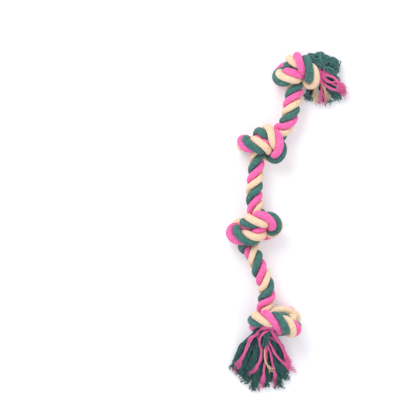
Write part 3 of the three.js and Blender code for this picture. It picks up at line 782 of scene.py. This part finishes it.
def middle_shift(strands, yarns):
    """How far the toy moves so that its middle lies over the origin."""
    points = []
    for chains, sides in ((strands, SOLID_STRAND_SIDES), (yarns, SOLID_YARN_SIDES)):
        for chain in chains:
            directions = ring_directions(chain.points, sides, chain.outward)
            rings = pressed(rings_round(chain.points, chain.radii, directions))
            points.append(rings.reshape(-1, 3))
    points = np.vstack(points)
    middle = (points.min(axis=0) + points.max(axis=0)) / 2
    return np.array((-middle[0], -middle[1], 0))


def partings(guide_distance, length, spans, count):
    """Where the strands are parted: into knots and the stretches between them."""
    ends = [[round(guide_distance[i] / length * (count - 1)) for i in span] for span in spans]
    ends[0][0], ends[-1][1] = 0, count - 1
    parts = []
    for k, (first, last) in enumerate(ends):
        parts.append((f"knot_{k + 1}", first, last))
        if k < len(ends) - 1:
            parts.append((f"stretch_{k + 1}", last, ends[k + 1][0]))
    return parts


def swollen_radii(line, largest, directions, others, other_reach, own_skip):
    """How far a strand's surface swells each way before it meets what lies beside it."""
    count = len(line)
    radii = np.empty(directions.shape[:2])
    all_points = np.vstack([line, others])
    all_reach = np.concatenate([largest, other_reach])
    for i, (middle, ways) in enumerate(zip(line, directions)):
        offsets = all_points - middle
        squares = np.einsum("ij,ij->i", offsets, offsets)
        near = squares < (largest[i] + all_reach) ** 2
        near[max(0, i - own_skip):min(count, i + own_skip + 1)] = False
        towards = np.maximum(ways @ offsets[near].T, NEARLY_ZERO)
        share = largest[i] / (largest[i] + all_reach[near])
        room = (squares[near] * share / towards).min(axis=1, initial=OPEN_REACH)
        fullness = np.maximum(room - CONTACT_GAP, CONTACT_GAP) / largest[i]
        radii[i] = largest[i] * (1 + fullness ** -ROUNDNESS) ** (-1 / ROUNDNESS)
    return radii


def evened(values):
    """Values on rings, smoothed along the strand and round it."""
    for _ in range(EVENING_ROUNDS):
        longer = np.vstack([values[:1], values, values[-1:]])
        values = (longer[:-2] + 2 * longer[1:-1] + longer[2:]) / 4
        values = (np.roll(values, 1, axis=1) + 2 * values + np.roll(values, -1, axis=1)) / 4
    return values


def above_floor(line, radii, directions):
    """Radii cut down to where the surface meets the floor."""
    down = np.maximum(-directions[..., 2], NEARLY_ZERO)
    room = np.maximum(line[:, None, 2] - FLOOR_GAP, CONTACT_GAP) / down
    return np.minimum(radii, room)


def full_radii(chain, line, distance):
    """The largest radius of a shown strand at each point of its line."""
    step = np.arange(len(line)) / SHOWN_SPAN_STEPS
    solid = np.interp(step, np.arange(len(chain.radii)), chain.radii)
    inside = (STRAND_DIAMETER / 2 - solid) / (STRAND_DIAMETER - KNOT_STRAND_DIAMETER) * 2
    largest = mixed(SHOWN_DIAMETER, SHOWN_KNOT_DIAMETER, inside) / 2
    from_end = np.minimum(distance, distance[-1] - distance)
    return largest * mixed(END_TAPER_SHARE, 1, smooth_step(from_end, 0, END_TAPER_LENGTH))


def new_object(name, data):
    thing = bpy.data.objects.new(name, data)
    bpy.context.scene.collection.objects.link(thing)
    return thing


def mesh_piece(name, vertices, faces, lay_places, material):
    """A smooth mesh object, whose points know their place round and along their strand."""
    mesh = bpy.data.meshes.new(name)
    mesh.from_pydata(vertices.tolist(), [], faces)
    mesh.polygons.foreach_set("use_smooth", np.ones(len(mesh.polygons), bool))
    attribute = mesh.attributes.new("lay_place", "FLOAT_VECTOR", "POINT")
    attribute.data.foreach_set("vector", np.asarray(lay_places, np.float32).ravel())
    mesh.materials.append(material)
    mesh.update()
    return new_object(name, mesh)


def tube_faces(ring_count, sides, first=0):
    """Faces of a tube between rings of points that follow each other."""
    k = np.arange(sides)
    following = (k + 1) % sides
    start = first + sides * np.arange(ring_count - 1)[:, None]
    corners = (start + k, start + following, start + sides + following, start + sides + k)
    return np.stack(corners, axis=-1).reshape(-1, 4).tolist()


def lay_rings(diameter, sides, distances):
    """Places round and along a strand or thread, for the rings at these distances."""
    angle = math.tau * np.arange(sides) / sides
    around = np.stack([np.cos(angle), np.sin(angle)], axis=1) * diameter / 2
    return [np.column_stack([around, np.full(sides, d)]) for d in distances]


def end_rings(ring, middle, before):
    """Rings that close a strand with a rounded end, from its last ring outwards."""
    outward = way_to(before, middle)
    reach = norm(ring - middle, axis=1).mean()
    rings = []
    for i in range(1, END_ROUNDING_STEPS + 1):
        angle = np.pi / 2 * min(i / END_ROUNDING_STEPS, END_CLOSING_SHARE)
        centre = middle + outward * reach * np.sin(angle)
        rings.append(centre + (ring - middle) * np.cos(angle))
    return rings


def strand_piece(name, line, rings, distance, rounded, material):
    """One part of a strand as a mesh; an end that isn't rounded meets the next part."""
    opening = end_rings(rings[0], line[0], line[1])[::-1] if rounded[0] else []
    closing = end_rings(rings[-1], line[-1], line[-2]) if rounded[1] else []
    rings = [*opening, *rings, *closing]
    along = [distance[0]] * len(opening) + [*distance] + [distance[-1]] * len(closing)
    sides = len(rings[0])
    lay = lay_rings(SHOWN_DIAMETER, sides, along)
    start = len(rings) * sides
    caps = [list(range(start, start + sides))[::-1], list(range(start + sides, start + 2 * sides))]
    vertices = np.vstack([*rings, rings[0], rings[-1]])
    lay_places = np.vstack([*lay, lay[0], lay[-1]])
    return mesh_piece(name, vertices, tube_faces(len(rings), sides) + caps, lay_places, material)


def threads_piece(name, threads, material):
    """Threads, as pairs of points and distances along them, as one mesh."""
    vertices, faces, lay = [], [], []
    first = 0
    for path, distance in threads:
        path[:, 2] = np.maximum(path[:, 2], THREAD_DIAMETER / 2 + FLOOR_GAP)
        radii = np.full(len(path), THREAD_DIAMETER / 2)
        radii[-1] *= TIP_THREAD_SHARE
        rings = rings_round(path, radii, ring_directions(path, THREAD_SIDES))
        vertices.append(rings.reshape(-1, 3))
        faces += tube_faces(len(path), THREAD_SIDES, first)
        faces.append([first + i for i in reversed(range(THREAD_SIDES))])
        first += len(path) * THREAD_SIDES
        faces.append([first - THREAD_SIDES + i for i in range(THREAD_SIDES)])
        lay += lay_rings(THREAD_DIAMETER, THREAD_SIDES, distance)
    return mesh_piece(name, np.vstack(vertices), faces, np.vstack(lay), material)


def bundle_piece(name, kind, wide, guides, outward, random, material):
    """One tassel yarn: a loose flat bundle of plies that twists, and frays at its tip."""
    tail = THREAD_LENGTH_SPREAD * distances_along(guides)[-1]
    inside = guides[0] - outward * ROOT_DEPTH
    beyond = guides[-1] + way_to(guides[-2], guides[-1]) * tail
    line = curve_points(np.vstack([inside, guides, beyond]), THREAD_SPAN_STEPS)
    distance = distances_along(line)
    length = distance[-1] - tail
    _, normals, others = frames_along(line)
    opening = smooth_step(distance / length, FRAY_START_SHARE, 1)
    spread = mixed(BUNDLE_ROOT_SHARE, 1, smooth_step(distance, 0, BUNDLE_ROOT_LENGTH))
    spread = spread * (1 + FRAY_SHARE * opening)
    ply_radius = THREAD_DIAMETER * THREADS_ACROSS_PLY / 2
    half_width = np.maximum(kind.half_width * wide * spread - ply_radius, 0)
    half_height = np.maximum(kind.half_height * spread - ply_radius, 0)
    plies = max(1, round(kind.plies * wide))
    sway = kind.wander * (1 + FRAY_WANDER_SHARE * opening)
    threads = []
    for n in range(plies):
        share = np.sqrt((n + 0.5) / plies)
        twist = math.tau * distance / BUNDLE_TWIST_LENGTH * random.uniform(*BUNDLE_TWIST_SPREAD)
        turn = n * GOLDEN_ANGLE + twist
        wave_length = kind.wander_length * random.uniform(*WANDER_LENGTH_SPREAD)
        wave = math.tau * (distance / wave_length + random.uniform())
        aside = half_width * share * np.cos(turn) + sway * np.sin(wave)
        upward = half_height * share * np.sin(turn) + sway * np.cos(wave)
        winding = math.tau * (distance / PLY_TWIST_LENGTH + random.uniform())
        for k in range(THREADS_ROUND_PLY + 1):
            reach = THREAD_DIAMETER * (1 + PLY_OPENING_SHARE * opening) * min(k, 1)
            angle = winding + math.tau * k / THREADS_ROUND_PLY
            fray = THREAD_FRAY * opening * random.uniform(-1, 1) * np.sin(wave + k)
            across = aside + reach * np.cos(angle) + fray
            up = upward + reach * np.sin(angle)
            path = line + others * across[:, None] + normals * up[:, None]
            kept = distance <= length * (1 + random.uniform(-1, 1) * THREAD_LENGTH_SPREAD)
            threads.append((path[kept], distance[kept] + n * THREADS_ROUND_PLY + k))
    return threads_piece(name, threads, material)


def set_inputs(tree, node, inputs):
    """Gives each input of a node its value, or links it to another node's output."""
    for key, value in inputs.items():
        if isinstance(value, bpy.types.NodeSocket):
            tree.links.new(value, node.inputs[key])
        else:
            node.inputs[key].default_value = value


def add_node(tree, kind, inputs, **settings):
    """Adds a node to a material, and returns its outputs."""
    node = tree.nodes.new(kind)
    for key, value in settings.items():
        setattr(node, key, value)
    set_inputs(tree, node, inputs)
    return node.outputs


def add_math(tree, operation, *inputs):
    return add_node(tree, "ShaderNodeMath", dict(enumerate(inputs)), operation=operation)[0]


def new_material(name, settings):
    material = bpy.data.materials.new(name)
    material.use_nodes = True
    tree = material.node_tree
    shader = tree.nodes["Principled BSDF"]
    set_inputs(tree, shader, settings)
    return material, tree, shader


def cotton_base(name, sheen):
    """A matt material with a soft sheen, and each point's place round and along its strand."""
    material, tree, shader = new_material(name, {
        "Roughness": ROUGHNESS, "Sheen Weight": sheen, "Sheen Roughness": SHEEN_ROUGHNESS,
        "Specular IOR Level": COTTON_GLOSS,
    })
    place = add_node(tree, "ShaderNodeAttribute", {}, attribute_name="lay_place")["Vector"]
    return material, tree, shader, place


def fibre_noise(tree, place, thickness, length):
    """Noise drawn out along the strand, as brushed fibres are."""
    stretch = (1 / thickness, 1 / thickness, 1 / length)
    drawn = add_node(tree, "ShaderNodeVectorMath", {0: place, 1: stretch}, operation="MULTIPLY")
    return add_node(tree, "ShaderNodeTexNoise", {
        "Vector": drawn[0], "Scale": 1, "Detail": FIBRE_DETAIL, "Roughness": FIBRE_NOISE_ROUGHNESS,
    })["Fac"]


def fibre_colour(tree, fibres, colours):
    """Dark, middle and light fibres side by side."""
    ramp = tree.nodes.new("ShaderNodeValToRGB")
    elements = ramp.color_ramp.elements
    elements.new(FIBRE_COLOUR_PLACES[1])
    for element, position, colour in zip(elements, FIBRE_COLOUR_PLACES, colours):
        element.position = position
        element.color = (*colour, 1)
    tree.links.new(fibres, ramp.inputs["Fac"])
    return ramp.outputs["Color"]


def shaded(tree, colour, place, size, amount):
    """The colour made paler and darker by noise."""
    noise = add_node(tree, "ShaderNodeTexNoise", {
        "Vector": place, "Scale": 1 / size, "Detail": SHADE_DETAIL,
    })["Fac"]
    low, high = SHADE_NOISE_RANGE
    shade = add_node(tree, "ShaderNodeMapRange", {
        "Value": noise, "From Min": low, "From Max": high,
        "To Min": 1 - amount, "To Max": 1 + amount,
    })["Result"]
    inputs = {0: colour, "Scale": shade}
    return add_node(tree, "ShaderNodeVectorMath", inputs, operation="SCALE")[0]


def finish_cotton(tree, shader, colour, relief, height):
    bump = add_node(tree, "ShaderNodeBump", {"Height": relief, "Distance": height})
    set_inputs(tree, shader, {"Base Color": colour, "Normal": bump["Normal"]})


def strand_cotton(colour):
    """Brushed cotton sleeve: fine fibres along the strand, in slightly uneven shades."""
    material, tree, shader, place = cotton_base(f"{colour}_strand_cotton", STRAND_SHEEN)
    fibres = fibre_noise(tree, place, FIBRE_THICKNESS, FIBRE_LENGTH)
    fibre_colours = fibre_colour(tree, fibres, STRAND_COLOURS[colour])
    everywhere = add_node(tree, "ShaderNodeTexCoord", {})["Object"]
    patched = shaded(tree, fibre_colours, everywhere, PATCH_SIZE, PATCH_SHADES[colour])
    finish_cotton(tree, shader, patched, fibres, STRAND_BUMP_HEIGHT)
    return material


def yarn_cotton(end, colour):
    """Thin plied thread: its plies wound round each other, in uneven streaks of colour.
    The top tassel's copy has more sheen and a lighter green, as painted light.
    """
    material, tree, shader, place = cotton_base(f"{end}_{colour}_yarn_cotton", YARN_SHEENS[end])
    thickness, length = FIBRE_THICKNESS * YARN_FIBRE_SHARE, FIBRE_LENGTH * YARN_FIBRE_SHARE
    fibres = fibre_noise(tree, place, thickness, length)
    # The top green is drawn lighter here: painted light for the brighter light on the top tassel
    lightness = YARN_KINDS[end][colour].lightness
    colours = [[min(part * lightness, 1) for part in shade] for shade in YARN_COLOURS[colour]]
    fibre_colours = fibre_colour(tree, fibres, colours)
    streaked = shaded(tree, fibre_colours, place, STREAK_LENGTH, STREAK_SHADES[colour])
    parts = add_node(tree, "ShaderNodeSeparateXYZ", {0: place})
    around = add_math(tree, "ARCTAN2", parts["Y"], parts["X"])
    along = add_math(tree, "MULTIPLY", parts["Z"], math.tau / THREAD_PITCH)
    winding = add_math(tree, "MULTIPLY_ADD", around, THREAD_PLIES, along)
    plies = add_math(tree, "SINE", winding)
    finish_cotton(tree, shader, streaked, plies, THREAD_BUMP_HEIGHT)
    return material


def soft_light(name, place, size, power):
    """A square soft lamp that points at the middle of the toy."""
    light = bpy.data.lights.new(name, "AREA")
    light.size = size
    light.energy = power
    lamp = new_object(name, light)
    lamp.location = place
    lamp.rotation_euler = (-Vector(place)).to_track_quat("-Z", "Y").to_euler()


# The rope as laid, bedded and pressed
guides, spans = rope_route()
points, length, guide_distance = even_points(guides, ROUTE_STEP)
strands = laid_strands(points, length, guide_distance, spans)
upper = laid_yarns(UPPER_YARNS, strands, True)
lower = laid_yarns(LOWER_YARNS, strands, False)
yarns = [*upper, *lower]
Bedding(strands + yarns).run()
shift = middle_shift(strands, yarns)
parts = partings(guide_distance, length, spans, len(points))

# Camera
camera_data = bpy.data.cameras.new("camera")
camera_data.sensor_width = SENSOR_WIDTH
camera_data.lens = SENSOR_WIDTH * CAMERA_DISTANCE / CAMERA_WIDTH
camera = new_object("camera", camera_data)
camera.location = shift + (*CAMERA_PLACE, CAMERA_DISTANCE + ROPE_HEIGHT)
bpy.context.scene.camera = camera

# Strands
BODIES = {
    "knot_1": "upper_end", "knot_2": "upper_middle",
    "knot_3": "lower_middle", "knot_4": "lower_end",
}
cottons = {name: strand_cotton(name) for name in STRAND_NAMES}
lines = [pressed(curve_points(strand.points, SHOWN_SPAN_STEPS)) + shift for strand in strands]
middle_line = pressed(points) + shift
yarn_lines = [pressed(yarn.points) + shift for yarn in yarns]
yarn_radii = [yarn.radii for yarn in yarns]
distances = [distances_along(line) for line in lines]
fullest = [full_radii(s, line, d) for s, line, d in zip(strands, lines, distances)]
cords = {}
for k, strand in enumerate(strands):
    line, distance = lines[k], distances[k]
    directions = ring_directions(line, SHOWN_SIDES)
    others = np.vstack(lines[:k] + lines[k + 1:] + yarn_lines)
    reach = np.concatenate(fullest[:k] + fullest[k + 1:] + yarn_radii)
    own_skip = int(OWN_REACH / (distance[-1] / len(line)))
    radii = swollen_radii(line, fullest[k], directions, others, reach, own_skip)
    radii = above_floor(line, evened(radii), directions)
    rings = rings_round(line, radii, directions)
    for name, first, last in parts:
        part = slice(first * SHOWN_SPAN_STEPS, last * SHOWN_SPAN_STEPS + 1)
        rounded = (part.start == 0, part.stop == len(line))
        node = f"{name}_{strand.name}_strand"
        piece = strand_piece(
            f"{node}_cotton", line[part], rings[part], distance[part], rounded, cottons[strand.name]
        )
        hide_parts(node)
        if name in BODIES:
            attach(piece, BODIES[name])
        else:
            n = int(name[-1])
            start, end = middle_line[first], middle_line[last]
            inset = way_to(start, end) * BEND_INSET
            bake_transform(piece)
        cords[name, strand.name] = (piece, line[part])

# Tassels
random = np.random.default_rng(THREAD_SEED)
for end, chains, loose, knot in (
    ("top", upper, UPPER_LOOSE, "knot_1"), ("bottom", lower, LOWER_LOOSE, "knot_4"),
):
    materials = {name: yarn_cotton(end, name) for name in STRAND_NAMES}
    kinds, wide = YARN_KINDS[end], WIDTH_SHARES[end]
    on_strand = [[] for _ in STRAND_NAMES]
    for chain in chains:
        colour, node = chain.colour, f"{end}_tassel_{chain.name}"
        piece = bundle_piece(
            f"{node}_threads", kinds[colour], wide.get(chain.name, 1),
            pressed(chain.points) + shift, chain.outward, random, materials[colour],
        )
        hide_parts(node)
        on_strand[chain.root[0]].append((piece, colour))
    for n, (colour, *route) in enumerate(loose):
        name, route = f"loose_{colour}_{n + 1}", pressed(np.array(route)) + shift
        piece = bundle_piece(
            f"{end}_tassel_{name}", kinds[colour], wide.get(name, 1),
            even_points(route, YARN_STEP)[0], way_to(*route[:2]), random, materials[colour],
        )
        on_strand[0].append((piece, colour))
    for piece, colour in sum(on_strand, []):
        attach(piece, BODIES[knot])

# The length of each strand piece along its line, which nothing uses
for (name, colour), (piece, line) in cords.items():
    distances_along(line)[-1]

# Floor and light
bpy.ops.mesh.primitive_plane_add(size=FLOOR_SIZE)
floor = bpy.context.object
floor.name = "floor"
pale_floor, _, _ = new_material("pale_floor", {
    "Base Color": FLOOR_COLOUR, "Roughness": FLOOR_ROUGHNESS,
    "Emission Color": FLOOR_COLOUR, "Emission Strength": FLOOR_GLOW,
})
floor.data.materials.append(pale_floor)
world = bpy.data.worlds.new("studio")
world.use_nodes = True
set_inputs(world.node_tree, world.node_tree.nodes["Background"], {
    "Color": WORLD_COLOUR, "Strength": WORLD_STRENGTH,
})
bpy.context.scene.world = world
for light in LIGHTS:
    soft_light(*light)
bpy.context.scene.view_settings.view_transform = "Standard"
